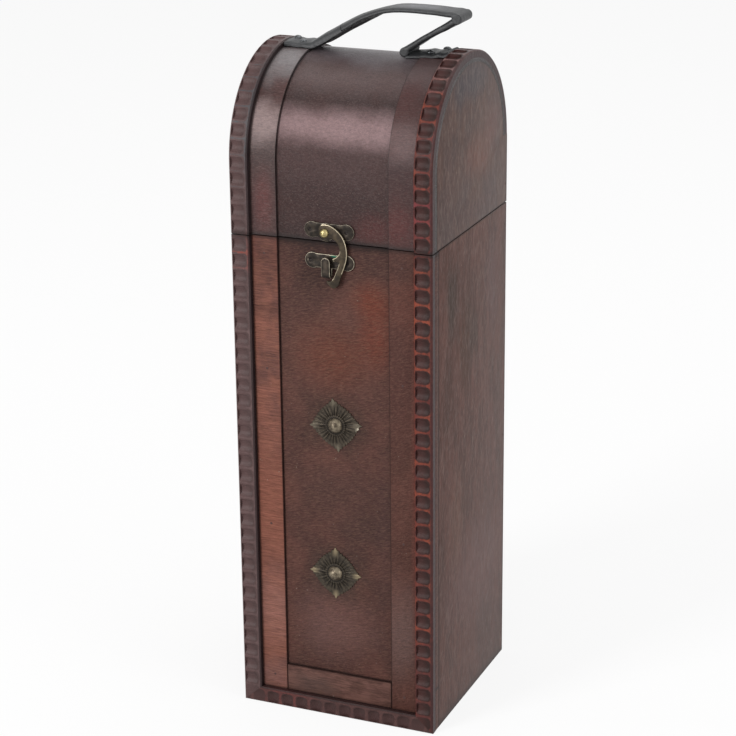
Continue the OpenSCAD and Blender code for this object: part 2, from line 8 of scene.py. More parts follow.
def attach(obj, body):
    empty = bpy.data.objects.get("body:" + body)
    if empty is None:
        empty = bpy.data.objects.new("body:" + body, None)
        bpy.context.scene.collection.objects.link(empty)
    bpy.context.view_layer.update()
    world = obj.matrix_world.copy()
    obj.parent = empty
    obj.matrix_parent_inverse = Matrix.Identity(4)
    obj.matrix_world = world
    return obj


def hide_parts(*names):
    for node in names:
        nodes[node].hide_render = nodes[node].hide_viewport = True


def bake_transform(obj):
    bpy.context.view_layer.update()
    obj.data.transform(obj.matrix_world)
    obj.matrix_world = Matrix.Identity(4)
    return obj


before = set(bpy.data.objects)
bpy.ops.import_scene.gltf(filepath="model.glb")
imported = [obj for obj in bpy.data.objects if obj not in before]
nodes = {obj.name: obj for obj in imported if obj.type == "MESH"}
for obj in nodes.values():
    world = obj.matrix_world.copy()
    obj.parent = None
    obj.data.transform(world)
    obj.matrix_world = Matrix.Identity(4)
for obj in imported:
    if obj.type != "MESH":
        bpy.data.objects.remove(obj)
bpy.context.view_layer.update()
print("frame loaded with", len(nodes), "nodes")

mm = 0.001  # sizes are written in millimetres, and the scene is in metres


# small helpers for the node materials

def linear(hexColour):
    # sRGB hex to the linear values that a colour socket holds
    values = [int(hexColour[i:i + 2], 16) / 255 for i in (1, 3, 5)]
    return [v / 12.92 if v <= 0.04045 else ((v + 0.055) / 1.055) ** 2.4 for v in values] + [1.0]


def addNode(tree, kind, links=None, **settings):
    # links gives each input, by name or number, a value, an output, or a node whose first open output is used
    node = tree.nodes.new("ShaderNode" + kind)
    for setting, value in settings.items():
        setattr(node, setting, value)
    for socket, value in (links or {}).items():
        if isinstance(value, bpy.types.Node):
            value = next(output for output in value.outputs if output.enabled)
        if isinstance(value, bpy.types.NodeSocket):
            tree.links.new(value, node.inputs[socket])
        else:
            node.inputs[socket].default_value = value
    return node


def newMaterial(name):
    material = bpy.data.materials.new(name)
    material.use_nodes = True
    tree = material.node_tree
    tree.nodes.clear()
    return material, tree


def placeInMm(tree):
    # object coordinates are metres, and the patterns are written in millimetres
    where = addNode(tree, "TexCoord")
    return addNode(tree, "VectorMath", {0: where.outputs["Object"], "Scale": 1000.0}, operation="SCALE")


def streaks(tree, place, size, detail=3.0, rough=0.6, warp=0.0):
    # noise with cells of the given size in millimetres along each axis
    spread = addNode(tree, "VectorMath", {0: place, 1: [1 / s for s in size]}, operation="MULTIPLY")
    return addNode(tree, "TexNoise", {"Vector": spread, "Scale": 1.0, "Detail": detail, "Roughness": rough,
                                      "Distortion": warp})


def laidOver(tree, ground, pattern, start, full, hexColour, share=1.0):
    # a colour over the ground: none of it where the pattern is at start, its whole share where it is at full
    cover = addNode(tree, "MapRange", {"Value": pattern, "From Min": start, "From Max": full,
                                       "To Max": share}, interpolation_type="SMOOTHSTEP")
    return addNode(tree, "Mix", {0: cover, 6: ground, 7: linear(hexColour)}, data_type="RGBA")


def painted(tree, colour, place, wobble, marksAndSheen):
    # soft worn or darkened places, and on the lid painted sheen: centre and reach in millimetres, colour and
    # strength
    for centre, reach, hexColour, strength in marksAndSheen:
        away = addNode(tree, "VectorMath", {0: place, 1: centre}, operation="SUBTRACT")
        away = addNode(tree, "VectorMath", {0: away, 1: [1 / r for r in reach]}, operation="MULTIPLY")
        far = addNode(tree, "VectorMath", {0: away}, operation="LENGTH").outputs["Value"]
        far = addNode(tree, "Math", {0: far, 1: wobble}, operation="ADD")
        colour = laidOver(tree, colour, far, 1.1, 0.15, hexColour, strength)
    return colour


def grimeAndShadeAlongJoints(tree, colour, place, edges, hexColour, strength):
    # grime in the joints and painted shade where parts meet or step: (axis, position, reach) in millimetres
    parts = addNode(tree, "SeparateXYZ", {0: place})
    for axis, position, reach in edges:
        gap = addNode(tree, "Math", {0: parts.outputs[axis], 1: position}, operation="SUBTRACT")
        gap = addNode(tree, "Math", {0: gap}, operation="ABSOLUTE")
        colour = laidOver(tree, colour, gap, reach, 0.0, hexColour, strength)
    return colour


def finishMaterial(tree, settings, bumpHeight, bumpDepth):
    # bumpDepth is in millimetres
    shader = addNode(tree, "BsdfPrincipled", settings)
    bump = addNode(tree, "Bump", {"Height": bumpHeight, "Strength": 1.0, "Distance": bumpDepth * mm})
    tree.links.new(bump.outputs[0], shader.inputs["Normal"])
    addNode(tree, "OutputMaterial", {"Surface": shader})


def stainedWood(name, look):
    # thin mahogany-stained board under worn satin varnish: pale raised fibres over a red-brown ground, stain
    # clouds rubbed on by hand, and a soft grey sheen at a low angle
    material, tree = newMaterial(name)
    place = placeInMm(tree)
    turned = addNode(tree, "VectorRotate", {"Vector": place, "Angle": math.radians(look.get("slant", 0))},
                     rotation_type="Y_AXIS" if look.get("front", True) else "X_AXIS")
    grain = streaks(tree, turned, look["grain"], 4.0, 0.65, 0.6)
    fibre = streaks(tree, turned, [s * 0.6 for s in look["grain"]], 4.0, 0.6, 0.6)
    fine = streaks(tree, turned, [s * 0.3 for s in look["grain"]], 3.0, 0.7)
    cloud = streaks(tree, place, look["cloud"], 3.0, 0.55)
    wobble = addNode(tree, "Math", {0: cloud, 1: 0.9, 2: -0.45}, operation="MULTIPLY_ADD")
    colour = laidOver(tree, linear(look["dark"]), cloud, 0.38, 0.62, look["mid"])
    colour = painted(tree, colour, place, wobble, look.get("marksAndSheen", ()))
    # grain and specks lighten and darken the ground about its own level
    contrast, speckle = look["contrast"], 1.1
    light = addNode(tree, "Math", {0: grain, 1: contrast, 2: 0.96 - (contrast + speckle) / 2},
                    operation="MULTIPLY_ADD")
    light = addNode(tree, "Math", {0: fine, 1: speckle, 2: light}, operation="MULTIPLY_ADD")
    colour = addNode(tree, "VectorMath", {0: colour, "Scale": light}, operation="SCALE")
    colour = laidOver(tree, colour, fibre, 0.46, 0.66, look.get("fibre", "#8d6a5c"), look["fibreShare"])
    if look.get("scratch"):
        # crossing scuffs from sliding in and out of a carton
        leaned = addNode(tree, "VectorRotate", {"Vector": place, "Angle": math.radians(38)},
                         rotation_type="X_AXIS")
        scuff = streaks(tree, leaned, (2, 0.45, 7), 2.0, 0.5, 0.3)
        colour = laidOver(tree, colour, scuff, 0.6, 0.74, "#a08f86", look["scratch"])
    chip = streaks(tree, place, (1.3, 1.3, 1.3), 1.0, 0.4)
    colour = laidOver(tree, colour, chip, 0.81, 0.83, "#b5a79c", 0.35)
    # grime and painted shade along the joints listed under edges
    colour = grimeAndShadeAlongJoints(tree, colour, place, look.get("edges", ()), look.get("grimeAndShade", "#2a1d1b"),
                       look.get("grimeAndShadeStrength", 0.75))
    gloss = addNode(tree, "Math", {0: fine, 1: 0.16, 2: look["rough"] - 0.13}, operation="MULTIPLY_ADD")
    gloss = addNode(tree, "Math", {0: cloud, 1: look.get("patchy", 0.1), 2: gloss}, operation="MULTIPLY_ADD")
    height = addNode(tree, "Math", {0: fine, 1: 0.8, 2: grain}, operation="MULTIPLY_ADD")
    finishMaterial(tree, {"Base Color": colour, "Roughness": gloss, "IOR": 1.48,
                          "Specular IOR Level": look.get("specular", 0.12)}, height, look.get("relief", 0.16))
    return material


# the carved row as the CAD model spaces it: up the carcass from the first coin, then up the lid and its dome
coinRow = {"pitch": 8.45, "firstCoin": 13.85, "seam": 264.0, "lidPitch": 8.2557, "lidWall": 36.75,
           "domeBottom": 301.0, "domeRadius": 54.0}


def fromCoinMiddle(tree, run, pitch):
    # how far a point of the row lies from the middle of its coin
    coins = addNode(tree, "Math", {0: run, 1: pitch}, operation="DIVIDE")
    share = addNode(tree, "Math", {0: coins}, operation="FRACT")
    return addNode(tree, "Math", {0: share, 1: pitch, 2: -pitch / 2}, operation="MULTIPLY_ADD")


def coinPlace(tree, parts, look):
    # the row runs along the foot, or up the carcass and over the lid
    pitch = coinRow["pitch"]
    if look["row"] == "foot":
        return fromCoinMiddle(tree, parts.outputs["X"], pitch)
    climb = addNode(tree, "Math", {0: parts.outputs["Z"], 1: coinRow["firstCoin"] - pitch / 2},
                    operation="SUBTRACT")
    onCarcass = fromCoinMiddle(tree, climb, pitch)
    rise = addNode(tree, "Math", {0: parts.outputs["Z"], 1: coinRow["domeBottom"]}, operation="SUBTRACT")
    forward = addNode(tree, "Math", {0: parts.outputs["Y"], 1: -1.0}, operation="MULTIPLY")
    turn = addNode(tree, "Math", {0: rise, 1: forward}, operation="ARCTAN2")
    overDome = addNode(tree, "Math", {0: turn, 1: coinRow["domeRadius"], 2: coinRow["lidWall"]},
                       operation="MULTIPLY_ADD")
    upWall = addNode(tree, "Math", {0: rise, 1: coinRow["lidWall"]}, operation="ADD")
    domed = addNode(tree, "Math", {0: rise, 1: 0.0}, operation="GREATER_THAN")
    path = addNode(tree, "Mix", {0: domed, 2: upWall, 3: overDome}, data_type="FLOAT")
    onLid = fromCoinMiddle(tree, path, coinRow["lidPitch"])
    aboveSeam = addNode(tree, "Math", {0: parts.outputs["Z"], 1: coinRow["seam"]}, operation="GREATER_THAN")
    return addNode(tree, "Mix", {0: aboveSeam, 2: onCarcass, 3: onLid}, data_type="FLOAT")


def carvedMoulding(name, look):
    # gouge-carved beech moulding, painted dark and rubbed back: thin worn rims of red-orange between dark
    # dished coins, and nearly black flanks of dark paint and painted shade
    material, tree = newMaterial(name)
    place = placeInMm(tree)
    parts = addNode(tree, "SeparateXYZ", {0: place})
    across = addNode(tree, "Math", {0: parts.outputs["Z" if look["row"] == "foot" else "X"],
                                    1: look["acrossFrom"]}, operation="SUBTRACT")
    rub = streaks(tree, place, (2.2, 2.2, 2.2), 3.0, 0.6)
    patch = streaks(tree, place, (9, 9, 13), 2.0, 0.5)
    grit = streaks(tree, place, (0.6, 0.6, 0.6), 2.0, 0.6)
    wobble = addNode(tree, "Math", {0: patch, 1: 0.8, 2: -0.4}, operation="MULTIPLY_ADD")
    # a coin is a rectangle with round corners, and the rubbing frays the line round it
    halfAcross, halfAlong, corner = look["coinHalf"]
    beyond = []
    for run, middle, half in ((across, look["coinMiddle"], halfAcross),
                              (coinPlace(tree, parts, look), 0.0, halfAlong)):
        off = addNode(tree, "Math", {0: run, 1: middle}, operation="SUBTRACT")
        off = addNode(tree, "Math", {0: off}, operation="ABSOLUTE")
        off = addNode(tree, "Math", {0: off, 1: half - corner}, operation="SUBTRACT")
        beyond.append(addNode(tree, "Math", {0: off, 1: 0.0}, operation="MAXIMUM"))
    reach = addNode(tree, "CombineXYZ", {0: beyond[0], 1: beyond[1]})
    reach = addNode(tree, "VectorMath", {0: reach}, operation="LENGTH").outputs["Value"]
    edge = addNode(tree, "Math", {0: rub, 1: 1.1, 2: reach}, operation="MULTIPLY_ADD")
    rim = addNode(tree, "MapRange", {"Value": edge, "From Min": corner + 0.3, "From Max": corner + 0.9},
                  interpolation_type="SMOOTHSTEP")
    coin = addNode(tree, "Mix", {0: patch, 6: linear(look["coin"]), 7: linear(look["coinWorn"])},
                   data_type="RGBA")
    coin = laidOver(tree, coin, across, 2.5, 7.8, look["coinDeep"], 0.7)
    worn = laidOver(tree, linear(look["rim"]), patch, 0.35, 0.65, look["rimWorn"])
    worn = painted(tree, worn, place, wobble, look["marksAndSheen"])
    rubbed = addNode(tree, "MapRange", {"Value": rub, "From Min": 0.3, "From Max": 0.6,
                                        "To Min": look["wearLow"]})
    rubbed = addNode(tree, "Math", {0: rim, 1: rubbed}, operation="MULTIPLY")
    colour = addNode(tree, "Mix", {0: rubbed, 6: coin, 7: worn}, data_type="RGBA")
    # the paint is dark beyond the outer bevel, and painted shade makes it darkest on the faces turned towards
    # +x
    facing = addNode(tree, "SeparateXYZ", {0: addNode(tree, "TexCoord").outputs["Normal"]})
    flankPaintAndShade = addNode(tree, "MapRange", {"Value": facing.outputs["X"], "From Min": 0.6, "From Max": 0.95},
                    interpolation_type="SMOOTHSTEP")
    flankPaintAndShade = addNode(tree, "Math", {0: flankPaintAndShade, 1: 0.75}, operation="MAXIMUM")
    outer = addNode(tree, "MapRange", {"Value": across, "From Min": look["darkFrom"],
                                       "From Max": look["darkFrom"] + 0.6}, interpolation_type="SMOOTHSTEP")
    shade = addNode(tree, "Math", {0: flankPaintAndShade, 1: outer}, operation="MULTIPLY")
    colour = addNode(tree, "Mix", {0: shade, 6: colour, 7: linear(look["flankPaintAndShade"])}, data_type="RGBA")
    light = addNode(tree, "Math", {0: grit, 1: 0.9, 2: 0.55}, operation="MULTIPLY_ADD")
    colour = addNode(tree, "VectorMath", {0: colour, "Scale": light}, operation="SCALE")
    # grime and painted shade along the seam
    colour = grimeAndShadeAlongJoints(tree, colour, place, look.get("edges", ()), "#1f1716", 0.8)
    height = addNode(tree, "Math", {0: grit, 1: 0.35, 2: rub}, operation="MULTIPLY_ADD")
    finishMaterial(tree, {"Base Color": colour, "Roughness": 0.42, "IOR": 1.48, "Specular IOR Level": 0.2},
                   height, 0.25)
    return material


def antiqueBrass(name, look):
    # stamped brass, dipped dark and rubbed: brown-black in the hollows, warm metal where hands wear it
    material, tree = newMaterial(name)
    place = placeInMm(tree)
    size, wear, rough = look["grain"], look["wear"], look["rough"]
    patina = streaks(tree, place, (size, size, size), 3.0, 0.55)
    spot = streaks(tree, place, (3.5, 3.5, 3.5), 2.0, 0.5)
    wobble = addNode(tree, "Math", {0: spot, 1: 0.8, 2: -0.4}, operation="MULTIPLY_ADD")
    colour = laidOver(tree, linear(look["dark"]), patina, 0.38 - wear, 0.66 - wear, look["bright"])
    colour = painted(tree, colour, place, wobble, look.get("marksAndSheen", ()))
    gloss = addNode(tree, "MapRange", {"Value": patina, "From Min": 0.3, "From Max": 0.7,
                                       "To Min": rough + 0.12, "To Max": rough - 0.08})
    finishMaterial(tree, {"Base Color": colour, "Metallic": look.get("metallic", 0.9), "Roughness": gloss},
                   patina, look.get("relief", 0.06))
    return material


def pressedRosette(name, look):
    # brass sheet pressed over a die, dipped dark: flutes ring the nail and end in saw teeth, and the tips are
    # rubbed bright
    material, tree = newMaterial(name)
    place = placeInMm(tree)
    patina = streaks(tree, place, (2.4, 2.4, 2.4), 3.0, 0.55)
    wobble = addNode(tree, "Math", {0: patina, 1: 0.8, 2: -0.4}, operation="MULTIPLY_ADD")
    local = addNode(tree, "VectorMath", {0: place, 1: look["middle"]}, operation="SUBTRACT")
    local = addNode(tree, "VectorRotate", {"Vector": local, "Angle": math.radians(look["turn"])},
                    rotation_type="Y_AXIS")
    parts = addNode(tree, "SeparateXYZ", {0: local})
    sideways = addNode(tree, "Math", {0: parts.outputs["X"]}, operation="ABSOLUTE")
    upright = addNode(tree, "Math", {0: parts.outputs["Z"]}, operation="ABSOLUTE")
    radius = addNode(tree, "CombineXYZ", {0: sideways, 1: upright})
    radius = addNode(tree, "VectorMath", {0: radius}, operation="LENGTH").outputs["Value"]
    # flutes fan out from the raised ring and fade before the edge
    turn = addNode(tree, "Math", {0: parts.outputs["Z"], 1: parts.outputs["X"]}, operation="ARCTAN2")
    wave = addNode(tree, "Math", {0: turn, 1: look["flutes"]}, operation="MULTIPLY")
    wave = addNode(tree, "Math", {0: wave}, operation="SINE")
    flute = 1.0
    for pattern, start, full in ((wave, -0.3, 0.7), (radius, 4.2, 5.4),
                                 (radius, look["fluteEnd"] + 3.5, look["fluteEnd"])):
        fade = addNode(tree, "MapRange", {"Value": pattern, "From Min": start, "From Max": full},
                       interpolation_type="SMOOTHSTEP")
        flute = addNode(tree, "Math", {0: fade, 1: flute}, operation="MULTIPLY")
    # the four tips: far out along one axis and close to it
    reach = addNode(tree, "Math", {0: sideways, 1: upright}, operation="MAXIMUM")
    off = addNode(tree, "Math", {0: sideways, 1: upright}, operation="MINIMUM")
    tip = look["tipShare"]
    for pattern, start, full in ((reach, 8.5, 13.0), (off, 2.2, 0.4)):
        fade = addNode(tree, "MapRange", {"Value": pattern, "From Min": start, "From Max": full},
                       interpolation_type="SMOOTHSTEP")
        tip = addNode(tree, "Math", {0: fade, 1: tip}, operation="MULTIPLY")
    colour = laidOver(tree, linear(look["dark"]), patina, 0.35, 0.65, look["bright"])
    groove = addNode(tree, "Math", {0: flute, 1: 0.75}, operation="MULTIPLY")
    colour = addNode(tree, "Mix", {0: groove, 6: colour, 7: linear("#231e19")}, data_type="RGBA")
    colour = laidOver(tree, colour, radius, 5.3, 4.4, "#1f1a15")
    colour = addNode(tree, "Mix", {0: tip, 6: colour, 7: linear(look["tip"])}, data_type="RGBA")
    colour = painted(tree, colour, place, wobble, look.get("marksAndSheen", ()))
    height = addNode(tree, "Math", {0: patina, 1: 0.3}, operation="MULTIPLY")
    height = addNode(tree, "Math", {0: height, 1: flute}, operation="SUBTRACT")
    finishMaterial(tree, {"Base Color": colour, "Metallic": 0.75, "Roughness": 0.46}, height, 0.22)
    return material


def leather(name, look):
    # black dyed split leather, gone grey: pebbled skin, dull sheen, paler where it is bent
    material, tree = newMaterial(name)
    place = placeInMm(tree)
    pebble = addNode(tree, "TexVoronoi", {"Vector": place, "Scale": 1.1}, feature="SMOOTH_F1")
    crease = streaks(tree, place, (7, 1.1, 5), 4.0, 0.6, 0.4)
    cloud = streaks(tree, place, (6, 6, 6), 3.0, 0.6)
    wobble = addNode(tree, "Math", {0: cloud, 1: 0.6, 2: -0.3}, operation="MULTIPLY_ADD")
    colour = laidOver(tree, linear(look["dark"]), cloud, 0.35, 0.65, look["mid"])
    colour = laidOver(tree, colour, crease, 0.55, 0.75, look["pale"], 0.6)
    colour = painted(tree, colour, place, wobble, look["marksAndSheen"])
    height = addNode(tree, "Math", {0: pebble.outputs["Distance"], 1: 0.4, 2: crease},
                     operation="MULTIPLY_ADD")
    finishMaterial(tree, {"Base Color": colour, "Roughness": look["rough"]}, height, 0.3)
    return material


def plainIron(name, look):
    # drawn iron wire and pressed nail heads, dulled by handling
    material, tree = newMaterial(name)
    dull = streaks(tree, placeInMm(tree), (0.9, 0.9, 0.9), 3.0, 0.6)
    colour = laidOver(tree, linear(look["dark"]), dull, 0.35, 0.65, look["bright"])
    finishMaterial(tree, {"Base Color": colour, "Metallic": look.get("metallic", 1.0),
                          "Roughness": look["rough"]}, dull, look.get("relief", 0.1))
    return material


# the front: centre panel between the strips, rubbed red in the middle, and dark near the joints with grime
# and painted shade
panelLook = {
    "dark": "#4a312d", "mid": "#593a34", "grain": (4.2, 4.2, 0.7), "cloud": (26, 26, 34), "contrast": 1.5,
    "slant": 12, "fibre": "#80604f", "fibreShare": 0.3,
    "marksAndSheen": (
        ((-4, -50, 262), (60, 20, 15), "#392624", 0.8),
        ((-6, -50, 249), (30, 20, 17), "#32211f", 0.85),
        ((20, -50, 234), (16, 20, 15), "#683528", 0.8),
        ((22, -50, 216), (14, 20, 26), "#6a3629", 0.7),
        ((-2, -50, 203), (28, 20, 24), "#62372b", 0.75),
        ((0, -50, 166), (24, 20, 21), "#3a2b26", 0.9),
        ((0, -50, 130), (30, 20, 20), "#4d3531", 0.6),
        ((12, -50, 110), (24, 20, 12), "#43302d", 0.6),
        ((-2, -50, 52), (30, 20, 24), "#6a4d49", 0.75),
        ((0, -50, 82), (21, 20, 20), "#40312c", 0.85),
        ((27, -50, 100), (8, 20, 70), "#473230", 0.5),
    ),
    "edges": ((0, -30.5, 1.3), (0, 30.5, 0.8), (2, 263.8, 5.0), (2, 263.8, 1.4), (2, 24.2, 1.4)),
    "grimeAndShade": "#1c1413", "grimeAndShadeStrength": 0.85, "rough": 0.46, "relief": 0.22,
}
panelWood = stainedWood("mahoganyStainedPanel", panelLook)

# the strip that the stain hardly took: orange-brown with long level fibres, dark against the moulding with
# grime and painted shade
leftStripLook = {
    "dark": "#64423c", "mid": "#7f5145", "grain": (9, 9, 0.55), "cloud": (16, 16, 22), "contrast": 2.0,
    "fibre": "#966650", "fibreShare": 0.3,
    "marksAndSheen": (
        ((-38, -50, 252), (20, 20, 22), "#583832", 0.8),
        ((-38, -50, 118), (20, 20, 46), "#825042", 0.75),
        ((-38, -50, 55), (20, 20, 32), "#93665c", 0.75),
        ((-38, -50, 16), (20, 20, 16), "#7c5a55", 0.75),
        ((-38, -50, 225), (20, 20, 6), "#4a302c", 0.5),
    ),
    "edges": ((0, -45, 1.4), (0, -30.5, 0.5), (2, 263.8, 2.2), (2, 9, 1.6)), "rough": 0.46,
}
leftStripWood = stainedWood("orangeStainedStrip", leftStripLook)

# the other strip, stained twice: deep red-brown with slanting fibres and a rubbed edge by the moulding
rightStripLook = {
    "dark": "#4d312b", "mid": "#593932", "grain": (3.2, 3.2, 0.8), "cloud": (16, 16, 30), "contrast": 1.4,
    "slant": 20, "fibre": "#765549", "fibreShare": 0.3,
    "marksAndSheen": (
        ((38, -50, 235), (20, 20, 26), "#5c362e", 0.6),
        ((38, -50, 255), (20, 20, 10), "#442c28", 0.7),
        ((38, -50, 56), (20, 20, 36), "#66504c", 0.75),
        ((38, -50, 195), (20, 20, 40), "#472c28", 0.7),
        ((44, -50, 140), (2.4, 20, 130), "#6b4038", 0.6),
    ),
    "edges": ((0, 45, 1.0), (0, 30.5, 0.7), (2, 263.8, 3.0), (2, 9, 1.2)), "rough": 0.46,
}
rightStripWood = stainedWood("redStainedStrip", rightStripLook)

# the insert across the foot shows the bare orange-brown veneer, with a dark line round it of grime and
# painted shade
insertLook = {
    "dark": "#553a34", "mid": "#694a43", "grain": (14, 14, 0.8), "cloud": (9, 9, 6), "contrast": 1.4,
    "fibre": "#7f5e50", "fibreShare": 0.3,
    "marksAndSheen": (((-16, -50, 14), (20, 20, 10), "#5a4540", 0.8), ((24, -50, 17), (12, 20, 6), "#523833", 0.6)),
    "edges": ((0, -30.2, 0.8), (0, 30.2, 0.9), (2, 9.3, 1.2), (2, 24.0, 0.7)), "grimeAndShadeStrength": 0.5, "rough": 0.48,
}
insertWood = stainedWood("orangeStainedInsert", insertLook)

# the bent skin is darkest above the seam, with a painted sheen on the shoulder and a painted grey sheen from
# there to the top
skinLook = {
    "dark": "#2b1513", "mid": "#38201d", "grain": (2.0, 1.0, 1.0), "cloud": (22, 22, 18), "contrast": 1.2,
    "fibre": "#8a7672", "fibreShare": 0.14,
    "marksAndSheen": (
        ((0, -50, 308), (90, 30, 28), "#442e2d", 0.8),
        # painted sheen on the shoulder, then painted grey sheen up to the top
        ((0, -47, 322), (90, 13, 13), "#94797a", 0.9),
        ((0, -30, 345), (90, 20, 12), "#665554", 0.7),
        ((0, 0, 352), (90, 30, 10), "#736c70", 0.8),
        ((22, -50, 272), (16, 30, 12), "#4c2220", 0.8),
        ((-8, -50, 280), (30, 30, 18), "#301a19", 0.8),
    ),
    "edges": ((0, -55, 1.8), (0, -30.5, 1.0), (0, 30.5, 0.6), (0, 55, 1.8), (2, 264.2, 3.0)),
    "grimeAndShade": "#1e1514", "rough": 0.25, "patchy": 0.3, "specular": 0.3, "relief": 0.32,
}
skinWood = stainedWood("stainedBentPlywood", skinLook)

# the bent strips carry a painted grey-pink highlight on the shoulder, as the skin beside them does, and are
# red where they are rubbed
lidLeftStripLook = {
    "dark": "#3c2422", "mid": "#462b29", "grain": (3, 0.8, 0.8), "cloud": (14, 14, 18), "contrast": 1.2,
    "fibre": "#937c77", "fibreShare": 0.16,
    "marksAndSheen": (
        ((-38, -50, 308), (20, 30, 28), "#3f2d2b", 0.85),
        # painted highlight on the shoulder, and painted grey sheen near the top
        ((-38, -47, 322), (20, 14, 13), "#927d7b", 0.85),
        ((-38, -20, 350), (20, 30, 16), "#868283", 0.8),
        ((-38, -50, 283), (7, 20, 20), "#5a2f2d", 0.75),
    ),
    "edges": ((0, -45, 1.4), (0, -30.5, 0.5), (2, 264.2, 3.0)),
    "grimeAndShade": "#1e1514", "rough": 0.25, "patchy": 0.3, "specular": 0.3,
}
lidLeftStripWood = stainedWood("bentStainedStripLeft", lidLeftStripLook)

# the right one is darker, with the red showing near the seam and a fainter painted sheen on the shoulder and
# top
lidRightStripLook = {
    "dark": "#391d1a", "mid": "#422321", "grain": (2.6, 0.8, 0.8), "cloud": (14, 14, 18), "contrast": 1.2,
    "fibre": "#84706c", "fibreShare": 0.14,
    "marksAndSheen": (
        ((38, -50, 308), (20, 30, 28), "#382222", 0.85),
        # painted sheen on the shoulder, and painted grey sheen near the top
        ((38, -47, 318), (20, 14, 14), "#654c4b", 0.8),
        ((38, -20, 350), (20, 30, 14), "#584949", 0.8),
        ((36, -50, 276), (12, 20, 14), "#532422", 0.7),
    ),
    "edges": ((0, 45, 1.0), (0, 30.5, 0.5), (2, 264.2, 3.0)),
    "grimeAndShade": "#1e1514", "rough": 0.25, "patchy": 0.3, "specular": 0.3,
}
lidRightStripWood = stainedWood("bentStainedStripRight", lidRightStripLook)

# the sides: greyer, wiped on with up and down strokes, with a dark smudge near the seam
sideLook = {
    "dark": "#4b3029", "mid": "#5b3d36", "grain": (3, 3, 11), "cloud": (18, 12, 50), "contrast": 1.0,
    "front": False, "fibre": "#84706a", "fibreShare": 0.2, "scratch": 0.3,
    "marksAndSheen": (
        ((55, -26, 232), (20, 12, 24), "#33261f", 0.75),
        ((55, -8, 200), (20, 14, 36), "#472c1e", 0.6),
        ((55, 4, 205), (20, 12, 22), "#38271e", 0.6),
        ((55, 10, 70), (20, 60, 40), "#674a47", 0.6),
        ((55, 34, 225), (20, 16, 34), "#5a413f", 0.6),
        ((55, -20, 110), (20, 14, 40), "#6a4c40", 0.4),
    ),
    # grime and painted shade along the joints and the bottom
    "edges": ((1, -45.5, 1.6), (1, -50, 3.6), (1, 54, 2.4), (2, 0, 6.0), (2, 263.8, 1.2)),
    "grimeAndShade": "#241c1a", "grimeAndShadeStrength": 0.65, "rough": 0.5, "specular": 0.2, "relief": 0.2,
}
sideWood = stainedWood("stainedSideBoard", sideLook)

# the lid ends: the greyest faces, with brushed scuffs, an orange-brown cloud behind the shoulder and a
# painted grey sheen near the top
lidEndLook = {
    "dark": "#4c3834", "mid": "#574039", "grain": (3, 3, 9), "cloud": (20, 14, 24), "contrast": 0.9,
    "front": False, "fibre": "#84746c", "fibreShare": 0.25, "scratch": 0.22,
    "marksAndSheen": (
        ((55, 12, 300), (20, 26, 16), "#6a4236", 0.7),
        ((55, 30, 312), (20, 16, 14), "#66413a", 0.5),
        # painted grey sheen near the top of the dome
        ((55, -6, 340), (20, 34, 14), "#474246", 0.75),
        ((55, -30, 290), (20, 14, 26), "#503b38", 0.5),
        ((55, 10, 272), (20, 40, 8), "#4d3330", 0.6),
    ),
    "edges": ((1, 54, 2.4), (1, -48, 2.0), (2, 264.2, 1.2)),
    "grimeAndShade": "#241c1a", "grimeAndShadeStrength": 0.65, "rough": 0.48, "specular": 0.2,
}
lidEndWood = stainedWood("stainedLidEnd", lidEndLook)

# bare plywood for the two pieces inside: pale, dry and matt, with upright grain
rawLook = {
    "dark": "#8a6a4c", "mid": "#a3815e", "grain": (3, 3, 16), "cloud": (30, 30, 60), "contrast": 0.8,
    "fibreShare": 0.0, "rough": 0.62,
}
rawWood = stainedWood("unfinishedPlywood", rawLook)

# right moulding: red rims rubbed through round dark hollows, brightest beside the latch, with a painted sheen
# where it runs over the lid top
rightMouldingLook = {
    "row": "upright", "acrossFrom": 45.0, "coinMiddle": 4.55, "coinHalf": (4.15, 3.65, 2.3),
    "coin": "#3b2321", "coinWorn": "#4a2b28", "coinDeep": "#271a17", "rim": "#632d28", "rimWorn": "#84402f",
    "flankPaintAndShade": "#382425", "darkFrom": 8.4, "wearLow": 0.35,
    "marksAndSheen": (
        ((50, -54, 10), (20, 30, 60), "#5a3230", 0.85),
        ((50, -54, 90), (20, 30, 30), "#6d3a30", 0.5),
        ((50, -54, 225), (20, 30, 24), "#8f4430", 0.6),
        ((50, -54, 285), (20, 30, 18), "#74353a", 0.7),
        # painted sheen on the lid top
        ((50, -15, 352), (20, 50, 16), "#7d6462", 0.9),
    ),
    "edges": ((2, 264, 3.2),),
}
rightMouldingPaint = carvedMoulding("rubbedPaintRight", rightMouldingLook)

# left moulding: dull brown rims that hardly stand out from the hollows, and a painted grey sheen over the
# dome
leftMouldingLook = {
    "row": "upright", "acrossFrom": -55.0, "coinMiddle": 4.0, "coinHalf": (4.7, 3.75, 1.6),
    "coin": "#523f3e", "coinWorn": "#5d4645", "coinDeep": "#4c3b3a", "rim": "#594544", "rimWorn": "#665150",
    "flankPaintAndShade": "#2f2526", "darkFrom": 8.9, "wearLow": 0.2,
    "marksAndSheen": (
        ((-50, -54, 254), (20, 30, 12), "#8a4438", 0.8),
        # painted grey sheen over the dome
        ((-50, -54, 328), (20, 60, 56), "#4a4d50", 0.85),
        ((-50, -54, 30), (20, 30, 50), "#65504f", 0.6),
    ),
    "edges": ((2, 264, 3.2),),
}
leftMouldingPaint = carvedMoulding("rubbedPaintLeft", leftMouldingLook)

